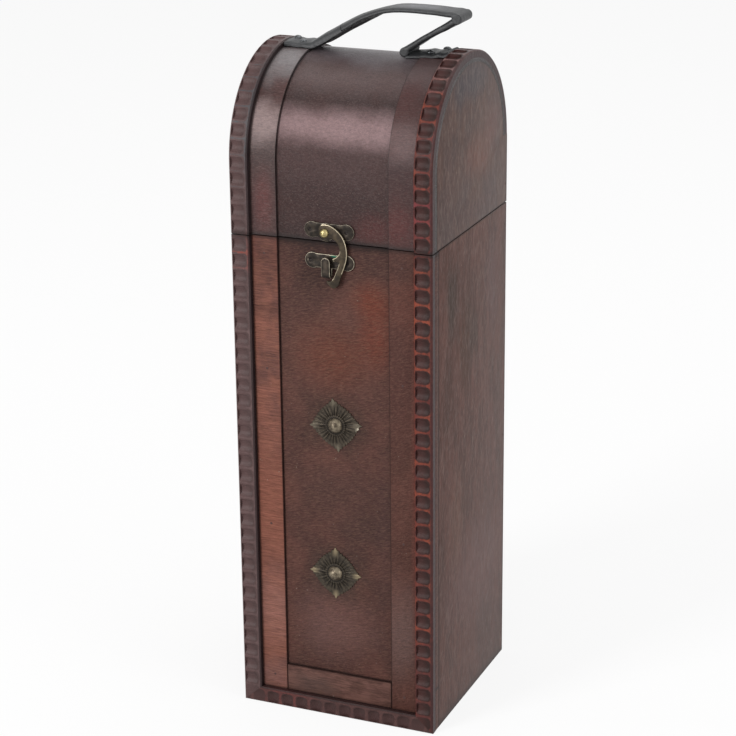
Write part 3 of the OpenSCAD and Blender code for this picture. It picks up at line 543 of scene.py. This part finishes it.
# foot moulding: nearly even dark brown, with a red patch left of the middle
footMouldingLook = {
    "row": "foot", "acrossFrom": 0.0, "coinMiddle": 3.8, "coinHalf": (3.6, 3.5, 2.0),
    "coin": "#422e2d", "coinWorn": "#4f3735", "coinDeep": "#392725", "rim": "#4c3432", "rimWorn": "#5d413e",
    "flankPaintAndShade": "#2f2222", "darkFrom": 8.0, "wearLow": 0.3,
    "marksAndSheen": (((-30, -54, 6), (22, 30, 12), "#6e3936", 0.7),),
}
footMouldingPaint = carvedMoulding("rubbedPaintFoot", footMouldingLook)

# the latch plates: smooth brown-black dip with a green spot of verdigris, and thin bright rims
plateBrass = antiqueBrass("antiqueBrassPlate", {
    "dark": "#25201c", "bright": "#3f372f", "wear": -0.02, "rough": 0.46, "grain": 3.0, "metallic": 0.75,
    "marksAndSheen": (((1.4, -51, 257.6), (3.4, 3, 1.6), "#2f6a52", 0.85),
              ((-2.7, -52, 251), (2.6, 3, 4.5), "#6f6255", 0.7))})
rimBrass = antiqueBrass("rubbedBrassRim", {
    "dark": "#8f8676", "bright": "#bdb29e", "wear": 0.05, "rough": 0.4, "grain": 3.0, "metallic": 0.75})
# the hook: warmer bronze, with a bright line rubbed along its back
hookBrass = antiqueBrass("antiqueBrassHook", {
    "dark": "#332c24", "bright": "#4b4133", "wear": 0.0, "rough": 0.42, "grain": 3.0, "metallic": 0.75})
hookRimBrass = antiqueBrass("rubbedHookRim", {
    "dark": "#a5967c", "bright": "#c9bca2", "wear": 0.1, "rough": 0.32, "grain": 3.0, "metallic": 0.8})
# the rivet head: the one piece of clean yellow brass, with a small hard highlight
rivetBrass = antiqueBrass("polishedBrassRivet", {
    "dark": "#6d6040", "bright": "#b5a676", "wear": 0.05, "rough": 0.3, "grain": 1.6, "relief": 0.15})
# the rosettes: grey-brown brass with dark flutes; the upper one has one bright tip, the lower one four
upperRosetteBrass = pressedRosette("pressedBrassRosetteUpper", {
    "middle": (0, -51, 166), "turn": 6, "flutes": 30, "fluteEnd": 8.6, "dark": "#3b342c", "bright": "#50473c",
    "tip": "#8b8271", "tipShare": 0.35,
    "marksAndSheen": (((13.4, -51, 165), (2.6, 4, 1.6), "#d2c8b4", 0.9),)})
lowerRosetteBrass = pressedRosette("pressedBrassRosetteLower", {
    "middle": (-1.3, -51, 82.5), "turn": 0, "flutes": 26, "fluteEnd": 7.6, "dark": "#37312a",
    "bright": "#4b4338", "tip": "#93846a", "tipShare": 0.75})
# their domed nails: smooth and a little yellower, so that they catch the light
nailBrass = antiqueBrass("antiqueBrassNail", {
    "dark": "#4a4136", "bright": "#827765", "wear": 0.03, "rough": 0.34, "grain": 2.2, "metallic": 0.8})
# brads stained over with the wood, so they show only as small red-brown specks
stainedNail = plainIron("stainedNailHead", {
    "dark": "#371c17", "bright": "#492a24", "rough": 0.6, "metallic": 0.0})
# latch nails: near black, sunk in their holes
darkIron = plainIron("blackenedIronNail", {"dark": "#1f1c1b", "bright": "#3b3634", "rough": 0.45})
# tab nails: dull grey steel domes with soft highlights against the black strap
domeSteel = plainIron("pressedSteelNailHead", {
    "dark": "#3b3c3e", "bright": "#747678", "rough": 0.34, "relief": 0.2})
# the hinges: the same dip as the latch, a little warmer and duller
hingeBrass = antiqueBrass("pressedBrassHinge", {
    "dark": "#453a29", "bright": "#665739", "wear": 0.0, "rough": 0.4, "grain": 3.2, "metallic": 0.8})
# the strap: charcoal leather, with a painted grey sheen on top of the grip, darkest along its edges
strapLeather = leather("blackDyedLeather", {
    "dark": "#1e1f21", "mid": "#2c2d2f", "pale": "#4a4b4e", "rough": 0.46,
    # the first mark is a painted grey sheen on top of the grip
    "marksAndSheen": (((28, 0, 378), (27, 9, 4), "#7e7d82", 0.9), ((-38, 2, 356), (9, 8, 2.5), "#3c3d40", 0.7))})
print("finishes made")


def dress(material, *names):
    # CAD nodes that keep their shape only take their finish
    for name in names:
        node = nodes[name]
        node.data.materials.clear()
        node.data.materials.append(material)


dress(rawWood, "bottom_board", "lid_front_rail")
dress(skinWood, "lid_skin")
dress(rightMouldingPaint, "right_coin_moulding", "lid_right_coin_moulding")
dress(leftMouldingPaint, "left_coin_moulding", "lid_left_coin_moulding")
dress(footMouldingPaint, "foot_coin_moulding")
dress(lidLeftStripWood, "lid_left_flat_strip")
dress(lidRightStripWood, "lid_right_flat_strip")
dress(upperRosetteBrass, "upper_rosette")
dress(lowerRosetteBrass, "lower_rosette")
dress(nailBrass, "rosette_nails")
dress(rivetBrass, "latch_rivet")
dress(darkIron, "latch_plate_nails", "catch_plate_nails")
dress(hingeBrass, "hinge_pins", "carcass_leaf_nails", "lid_leaf_nails")


# merge is in millimetres, the angles are in degrees
easing = {"merge": 0.002, "flat": 0.5, "segments": 2, "sharp": 30, "smooth": 35}


def eased(source, body, width, face, edge=None, name=None):
    # a copy of a CAD node with its sharp edges eased, as sandpaper and handling leave them; the bevel's strip
    # takes the edge's finish, where one is given
    bpy.ops.object.select_all(action="DESELECT")
    piece = bpy.data.objects.new(name or source + "_eased", nodes[source].data.copy())
    bpy.context.scene.collection.objects.link(piece)
    bpy.context.view_layer.objects.active = piece
    piece.select_set(True)
    bpy.ops.object.mode_set(mode="EDIT")
    bpy.ops.mesh.select_all(action="SELECT")
    bpy.ops.mesh.remove_doubles(threshold=easing["merge"] * mm)
    bpy.ops.mesh.dissolve_limited(angle_limit=math.radians(easing["flat"]))
    bpy.ops.object.mode_set(mode="OBJECT")
    piece.data.materials.clear()
    piece.data.materials.append(face)
    if edge:
        piece.data.materials.append(edge)
    for polygon in piece.data.polygons:
        polygon.material_index = 0
    ease = piece.modifiers.new("ease", "BEVEL")
    ease.width = width * mm
    ease.segments = easing["segments"]
    ease.limit_method = "ANGLE"
    ease.angle_limit = math.radians(easing["sharp"])
    ease.use_clamp_overlap = True
    ease.material = 1 if edge else 0
    bpy.ops.object.modifier_apply(modifier="ease")
    bpy.ops.object.shade_smooth_by_angle(angle=math.radians(easing["smooth"]))
    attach(piece, body)
    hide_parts(source)
    return piece


easedWood = {
    "front_board": ("carcass", 0.3, panelWood), "back_board": ("carcass", 0.3, sideWood),
    "left_side_board": ("carcass", 0.3, sideWood), "right_side_board": ("carcass", 0.3, sideWood),
    "left_flat_strip": ("carcass", 0.25, leftStripWood),
    "right_flat_strip": ("carcass", 0.25, rightStripWood),
    "foot_flat_strip": ("carcass", 0.25, insertWood), "lid_left_end": ("lid", 0.15, lidEndWood),
    "lid_right_end": ("lid", 0.15, lidEndWood), "lid_back_rail": ("lid", 0.15, sideWood)}
for source, (body, width, wood) in easedWood.items():
    eased(source, body, width, wood)

# the latch plates: bright rims, but the rims of their nail holes stay dark
plateSize = {"holes": (-11.0, 7.8), "reach": 2.4,
             "latch_plate": ("lid", 0.3, 270.0), "catch_plate": ("carcass", 0.24, 254.0)}
for source in ("latch_plate", "catch_plate"):
    body, width, height = plateSize[source]
    plate = eased(source, body, width, plateBrass, rimBrass)
    for face in plate.data.polygons:
        for x in plateSize["holes"]:
            if math.dist((face.center.x / mm, face.center.z / mm), (x, height)) < plateSize["reach"]:
                face.material_index = 0

# the brads' flat heads are level with the wood, so the copies swell a hair proud of it
bradSize = {"ease": 0.12, "swell": 0.04}
for body in ("carcass", "lid"):
    eased(body + "_brads", body, bradSize["ease"], stainedNail)
    bpy.ops.object.mode_set(mode="EDIT")
    bpy.ops.mesh.select_all(action="SELECT")
    bpy.ops.transform.shrink_fatten(value=bradSize["swell"] * mm)
    bpy.ops.object.mode_set(mode="OBJECT")

leafEase = 0.15
for side in ("left", "right"):
    for body in ("carcass", "lid"):
        eased(f"{side}_hinge_{body}_leaf", body, leafEase, hingeBrass, name=f"{side}_{body}_leaf_eased")
print("boards, plates, brads and hinges eased")


def smoothRun(points, steps):
    # Catmull-Rom through the points, with even steps between each pair
    run = []
    last = len(points) - 1
    for i in range(last):
        p = [points[max(i - 1, 0)], points[i], points[i + 1], points[min(i + 2, last)]]
        for k in range(steps):
            t = k / steps
            run.append([0.5 * (2 * b + (c - a) * t + (2 * a - 5 * b + 4 * c - d) * t * t
                               + (3 * b - a - 3 * c + d) * t ** 3) for a, b, c, d in zip(*p)])
    run.append(list(points[last]))
    return run


# the crescent hook, cut from sheet brass with a beak that grips the tongue
hookSize = {
    "front": -52.6, "thickness": 1.4, "ease": 0.34, "rivet": (-3.6, 269.1), "bore": 1.6, "steps": 3,
    "sharp": 50, "smooth": 35,
    # outline in x and z, from the eye round the back, the arm and the beak, and its points that are rubbed
    "outline": (
        (-6.72, 270.62), (-6.57, 271.9), (-5.58, 273.04), (-3.81, 273.62), (-1.62, 273.5), (0.9, 272.55),
        (3.3, 270.96), (5.2, 269.16), (6.74, 266.93), (7.73, 264.58), (8.35, 261.96), (8.55, 259.1),
        (8.27, 256.07), (7.5, 253.46), (6.74, 251.21), (5.73, 248.56), (4.71, 245.73), (4.07, 243.24),
        (2.88, 241.59), (1.03, 240.53), (-0.97, 241.45), (-2.77, 243.25), (-2.45, 244.2), (-0.8, 244.1),
        (0.8, 245.6), (1.8, 247.7), (2.65, 249.73), (3.41, 251.45), (3.92, 253.07), (4.06, 254.11),
        (3.03, 254.66), (1.63, 254.69), (0.61, 255.36), (0.81, 256.1), (2.03, 256.66), (3.45, 257.83),
        (4.38, 259.13), (4.64, 260.48), (4.37, 262.25), (3.73, 263.92), (2.66, 265.31), (1.28, 266.12),
        (-0.53, 266.77), (-2.23, 266.47), (-3.94, 266.29), (-5.51, 266.73), (-6.46, 267.95), (-6.86, 269.33)),
    "rubbed": tuple(range(2, 15)) + tuple(range(24, 29)) + (31, 32, 33, 34, 35, 36),
}
outline = smoothRun(hookSize["outline"] + hookSize["outline"][:1], hookSize["steps"])[:-1]
bpy.ops.object.select_all(action="DESELECT")
bpy.ops.mesh.primitive_circle_add(vertices=len(outline), radius=0.01, fill_type="NGON", location=(0, 0, 0))
hook = bpy.context.object
hook.name = "latch_hook_plate"
for corner, (x, z) in zip(hook.data.vertices, outline):
    corner.co = (x * mm, hookSize["front"] * mm, z * mm)
bpy.ops.object.mode_set(mode="EDIT")
bpy.ops.mesh.select_all(action="SELECT")
bpy.ops.mesh.extrude_region_move(TRANSFORM_OT_translate={"value": (0, hookSize["thickness"] * mm, 0)})
bpy.ops.mesh.select_all(action="SELECT")
bpy.ops.mesh.normals_make_consistent(inside=False)
bpy.ops.object.mode_set(mode="OBJECT")
bpy.ops.object.select_all(action="DESELECT")
rivetX, rivetZ = hookSize["rivet"]
bpy.ops.mesh.primitive_cylinder_add(vertices=48, radius=hookSize["bore"] * mm, depth=0.01,
                                    location=(rivetX * mm, hookSize["front"] * mm, rivetZ * mm),
                                    rotation=(math.pi / 2, 0, 0))
cutter = bpy.context.object
bpy.ops.object.select_all(action="DESELECT")
hook.select_set(True)
bpy.context.view_layer.objects.active = hook
bore = hook.modifiers.new("bore", "BOOLEAN")
bore.object = cutter
bore.operation = "DIFFERENCE"
bpy.ops.object.modifier_apply(modifier="bore")
bpy.data.objects.remove(cutter)
hook.data.materials.clear()
hook.data.materials.append(hookBrass)
hook.data.materials.append(hookRimBrass)
for face in hook.data.polygons:
    face.material_index = 0
ease = hook.modifiers.new("ease", "BEVEL")
ease.width = hookSize["ease"] * mm
ease.segments = 3
ease.limit_method = "ANGLE"
ease.angle_limit = math.radians(hookSize["sharp"])
ease.material = 1
bpy.ops.object.modifier_apply(modifier="ease")
for face in hook.data.polygons:
    # bag and fingers rub bright only the back, the arm's inner edge and the beak
    spot = (face.center.x / mm, face.center.z / mm)
    near = min(range(len(outline)), key=lambda i: math.dist(outline[i], spot))
    if near // hookSize["steps"] not in hookSize["rubbed"]:
        face.material_index = 0
bpy.ops.object.shade_smooth_by_angle(angle=math.radians(hookSize["smooth"]))
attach(hook, "hook")
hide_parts("latch_hook")
print("hook made")


# the strap handle, folded from one strip of leather
strapSize = {
    "halfWidth": 8.0, "across": 14, "steps": 5, "edge": 0.14, "thinning": 0.8, "smooth": 50,
    # folds: middle in x and z, radius, and the grain of the skin drawn over fold and strap
    "endRoll": (49.8, 371.9, 2.7, 0.3), "foldRoll": (21.7, 353.5, 2.5, 0.35),
    # middle of the upper face in x and z, thickness, crown, fall of the back edge: from the left tab round
    "foot": ((-44.6, 354.6, 2.4, 0.6, 0.0), (-41.0, 355.0, 2.6, 0.6, 0.0), (-37.8, 354.5, 2.3, 0.6, 0.0),
             (-34.2, 355.0, 2.7, 0.7, 0.0), (-30.5, 355.2, 3.3, 0.9, 0.1), (-27.4, 357.0, 4.0, 1.1, 0.2),
             (-23.2, 359.7, 3.9, 1.6, 0.4), (-18.5, 362.3, 3.1, 2.1, 0.8), (-13.8, 365.0, 2.6, 2.4, 1.4)),
    "grip": ((-13.8, 365.0, 2.6, 2.4, 1.4), (-9.3, 367.4, 2.4, 2.4, 1.8), (-4.6, 369.8, 2.3, 2.2, 2.0),
             (-0.2, 371.6, 2.3, 1.8, 1.8), (4.0, 373.1, 2.3, 1.3, 1.2), (8.0, 374.3, 2.4, 0.8, 0.6),
             (12.5, 375.2, 2.4, 0.4, 0.1), (18.0, 375.8, 2.4, 0.3, 0.0), (26.0, 376.0, 2.4, 0.3, 0.0),
             (33.0, 375.9, 2.5, 0.3, 0.0), (38.0, 375.7, 2.5, 0.2, 0.0), (44.0, 375.3, 2.6, 0.2, 0.0),
             (47.6, 375.2, 2.8, 0.1, 0.0), (50.2, 374.6, 3.0, 0.0, 0.0)),
    "riser": ((19.8, 355.0, 3.0, 0.4, 0.0), (21.8, 356.5, 3.1, 0.4, 0.0), (25.5, 358.8, 3.1, 0.3, 0.0),
              (29.8, 361.5, 3.0, 0.1, 0.0), (34.2, 364.0, 3.0, 0.0, 0.0), (38.5, 366.6, 3.2, 0.0, 0.0),
              (42.8, 369.3, 3.6, 0.2, 0.0), (46.8, 372.0, 3.6, 0.2, 0.0), (49.0, 373.4, 3.6, 0.1, 0.0)),
    "tab": ((22.4, 352.8, 2.0, 0.6, 0.0), (26.0, 353.1, 2.0, 0.6, 0.0), (29.5, 353.5, 2.2, 0.6, 0.0),
            (33.0, 354.2, 2.4, 0.6, 0.0), (36.5, 353.8, 2.0, 0.6, 0.0), (40.0, 354.9, 2.6, 0.6, 0.0),
            (42.5, 354.6, 2.2, 0.6, 0.0), (44.7, 355.6, 2.9, 0.6, 0.0)),
}


def strapPiece(name, points, before=None, after=None):
    # sweeps the strap's section along the middle of its upper face; before and after keep the ends in line
    run = smoothRun(points, strapSize["steps"])
    across = strapSize["across"]
    half = strapSize["halfWidth"]
    mesh = bpy.data.meshes.new(name)
    build = bmesh.new()
    rings = []
    for i, (x, z, thick, crown, drop) in enumerate(run):
        a = run[i - 1] if i else (before or run[0])
        b = run[i + 1] if i < len(run) - 1 else (after or run[-1])
        along = Vector((b[0] - a[0], 0, b[1] - a[1])).normalized()
        out = Vector((-along.z, 0, along.x))
        top, low = [], []
        for k in range(across + 1):
            u = 2 * k / across - 1
            tight = max(0.0, 1 - (1 - abs(u)) / strapSize["edge"])
            edgeShare = math.sqrt(1 - strapSize["thinning"] * tight * tight)
            sag = crown * u * u + drop * u / 2
            middle = Vector((x, half * u, z)) - out * (thick / 2 + sag)
            top.append(middle + out * (thick / 2 * edgeShare))
            low.append(middle - out * (thick / 2 * edgeShare))
        rings.append([build.verts.new(p * mm) for p in top + low[::-1]])
    for one, two in zip(rings, rings[1:]):
        count = len(one)
        for k in range(count):
            build.faces.new((one[k], one[(k + 1) % count], two[(k + 1) % count], two[k]))
    build.faces.new(rings[0])
    build.faces.new(rings[-1][::-1])
    bmesh.ops.recalc_face_normals(build, faces=build.faces)
    build.to_mesh(mesh)
    build.free()
    piece = bpy.data.objects.new(name, mesh)
    bpy.context.scene.collection.objects.link(piece)
    mesh.materials.append(strapLeather)
    bpy.ops.object.select_all(action="DESELECT")
    bpy.context.view_layer.objects.active = piece
    piece.select_set(True)
    bpy.ops.object.shade_smooth_by_angle(angle=math.radians(strapSize["smooth"]))
    return piece


def rollIn(piece, roll):
    # rolls the leather at a fold, under one skin with the strap, so that the fold grows out of it
    x, z, radius, grain = roll
    width = 2 * strapSize["halfWidth"]
    bpy.ops.object.select_all(action="DESELECT")
    bpy.ops.mesh.primitive_cylinder_add(vertices=36, radius=radius * mm, depth=width * mm,
                                        location=(x * mm, 0, z * mm), rotation=(math.pi / 2, 0, 0))
    bpy.context.object.data.materials.append(strapLeather)
    bpy.ops.object.transform_apply(location=True, rotation=True, scale=True)
    piece.select_set(True)
    bpy.context.view_layer.objects.active = piece
    bpy.ops.object.join()
    skin = piece.modifiers.new("skin", "REMESH")
    skin.mode = "VOXEL"
    skin.voxel_size = grain * mm
    skin.use_smooth_shade = True
    bpy.ops.object.modifier_apply(modifier="skin")
    calm = piece.modifiers.new("calm", "SMOOTH")
    calm.iterations = 6
    calm.factor = 0.5
    bpy.ops.object.modifier_apply(modifier="calm")


footStrap = strapPiece("strap_foot", strapSize["foot"], after=strapSize["grip"][1])
gripStrap = strapPiece("strap_grip", strapSize["grip"], before=strapSize["foot"][-2])
rollIn(gripStrap, strapSize["endRoll"])
riserStrap = strapPiece("strap_riser", strapSize["riser"])
rollIn(riserStrap, strapSize["foldRoll"])
tabStrap = strapPiece("strap_tab", strapSize["tab"])
print("strap made")

# the tab nails: domes pressed flat, two through each end of the strap
domeNails = {
    "radius": 2.0, "height": 1.1, "smooth": 50,
    "places": ((-41.4, 3.0, 355.0), (-35.4, -3.4, 354.7), (34.6, -3.8, 353.9), (40.8, 3.2, 354.7))}
heads = []
for place in domeNails["places"]:
    foot = [run * mm for run in place]
    bpy.ops.object.select_all(action="DESELECT")
    bpy.ops.mesh.primitive_uv_sphere_add(segments=32, ring_count=16, radius=domeNails["radius"] * mm,
                                         location=foot)
    bpy.ops.object.mode_set(mode="EDIT")
    bpy.ops.mesh.select_all(action="SELECT")
    bpy.ops.mesh.bisect(plane_co=foot, plane_no=(0, 0, 1), clear_inner=True, use_fill=True)
    bpy.ops.mesh.select_all(action="SELECT")
    bpy.ops.transform.resize(value=(1, 1, domeNails["height"] / domeNails["radius"]),
                             center_override=foot)
    bpy.ops.object.mode_set(mode="OBJECT")
    bpy.ops.object.shade_smooth_by_angle(angle=math.radians(domeNails["smooth"]))
    heads.append(bpy.context.object)
bpy.ops.object.select_all(action="DESELECT")
for head in heads:
    head.select_set(True)
bpy.context.view_layer.objects.active = heads[0]
bpy.ops.object.join()
tabNails = bpy.context.object
tabNails.name = "tab_nail_heads"
bpy.ops.object.transform_apply(location=True, rotation=True, scale=True)
tabNails.data.materials.append(domeSteel)
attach(tabNails, "lid")
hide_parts("handle_tab_nails")

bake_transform(footStrap)
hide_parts("handle_left_tab", "handle_left_riser")
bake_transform(gripStrap)
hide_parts("handle_grip")
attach(riserStrap, "handle_right")
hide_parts("handle_right_riser")
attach(tabStrap, "lid")
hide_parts("handle_right_tab")
print("tab nails made, and the strap tied to the lid and the handle's joints")


# floor, light and camera; angles in degrees, lengths in metres
studio = {
    "floorSize": 9.0, "floorColour": "#f4f4f4", "floorGlow": 0.85, "worldLevel": 0.56, "backLevel": 1.0,
    # azimuth, elevation, distance, height aimed at, width and height, power
    "lamps": {"keyLight": (-28, 20, 1.4, 0.2, (0.42, 1.0), 10.0),
              "fillLight": (78, 18, 1.5, 0.19, (0.9, 0.9), 4.0),
              "topLight": (160, 72, 1.4, 0.19, (0.9, 0.9), 5.0)},
    "sensor": 36.0, "lens": 112.744, "farEnd": 50, "cameraPlace": (0.451336, -1.063628, 0.589793),
    "azimuth": 23.1303, "elevation": 19.4943, "roll": -0.62675,
}


def seenDirectly(tree):
    # 1 for what the camera sees, also in gloss and through glass, and 0 for the light that falls on the box
    rays = addNode(tree, "LightPath")
    seen = rays.outputs["Is Camera Ray"]
    for kind in ("Is Glossy Ray", "Is Transmission Ray"):
        seen = addNode(tree, "Math", {0: seen, 1: rays.outputs[kind]}, operation="MAXIMUM")
    return seen


bpy.ops.object.select_all(action="DESELECT")
bpy.ops.mesh.primitive_plane_add(size=studio["floorSize"], location=(0, 0, 0))
floor = bpy.context.object
floor.name = "floor"
floorPaint, tree = newMaterial("palePaperFloor")
share = addNode(tree, "Math", {0: seenDirectly(tree), 1: studio["floorGlow"]}, operation="MULTIPLY")
paper = addNode(tree, "BsdfDiffuse", {"Color": linear(studio["floorColour"]), "Roughness": 1.0})
glow = addNode(tree, "Emission", {"Color": (1, 1, 1, 1), "Strength": 1.0})
addNode(tree, "OutputMaterial", {"Surface": addNode(tree, "MixShader", {0: share, 1: paper, 2: glow})})
floor.data.materials.append(floorPaint)

world = bpy.data.worlds.new("studio")
bpy.context.scene.world = world
world.use_nodes = True
tree = world.node_tree
tree.nodes.clear()
level = addNode(tree, "MapRange", {"Value": seenDirectly(tree), "To Min": studio["worldLevel"],
                                   "To Max": studio["backLevel"]})
sky = addNode(tree, "Background", {"Color": (1, 1, 1, 1), "Strength": level})
addNode(tree, "OutputWorld", {"Surface": sky})

for name, (azimuth, elevation, distance, aim, size, power) in studio["lamps"].items():
    lamp = bpy.data.lights.new(name, "AREA")
    lamp.shape = "RECTANGLE"
    lamp.size, lamp.size_y = size
    lamp.energy = power
    box = bpy.data.objects.new(name, lamp)
    bpy.context.scene.collection.objects.link(box)
    a, e = math.radians(azimuth), math.radians(elevation)
    away = Vector((math.sin(a) * math.cos(e), -math.cos(a) * math.cos(e), math.sin(e)))
    box.location = Vector((0, 0, aim)) + away * distance
    box.rotation_euler = away.to_track_quat("Z", "Y").to_euler()

camera = bpy.data.cameras.new("camera")
camera.sensor_width = studio["sensor"]
camera.lens = studio["lens"]
camera.clip_end = studio["farEnd"]
view = bpy.data.objects.new("camera", camera)
bpy.context.scene.collection.objects.link(view)
a, e, roll = (math.radians(studio[key]) for key in ("azimuth", "elevation", "roll"))
forward = Vector((-math.sin(a) * math.cos(e), math.cos(a) * math.cos(e), -math.sin(e)))
level = forward.cross(Vector((0, 0, 1))).normalized()
upright = level.cross(forward)
right = level * math.cos(roll) + upright * math.sin(roll)
up = upright * math.cos(roll) - level * math.sin(roll)
turn = Matrix((right, up, -forward)).transposed().to_4x4()
view.matrix_world = Matrix.Translation(studio["cameraPlace"]) @ turn
bpy.context.scene.camera = view
bpy.context.scene.view_settings.view_transform = "Standard"
print("studio made")
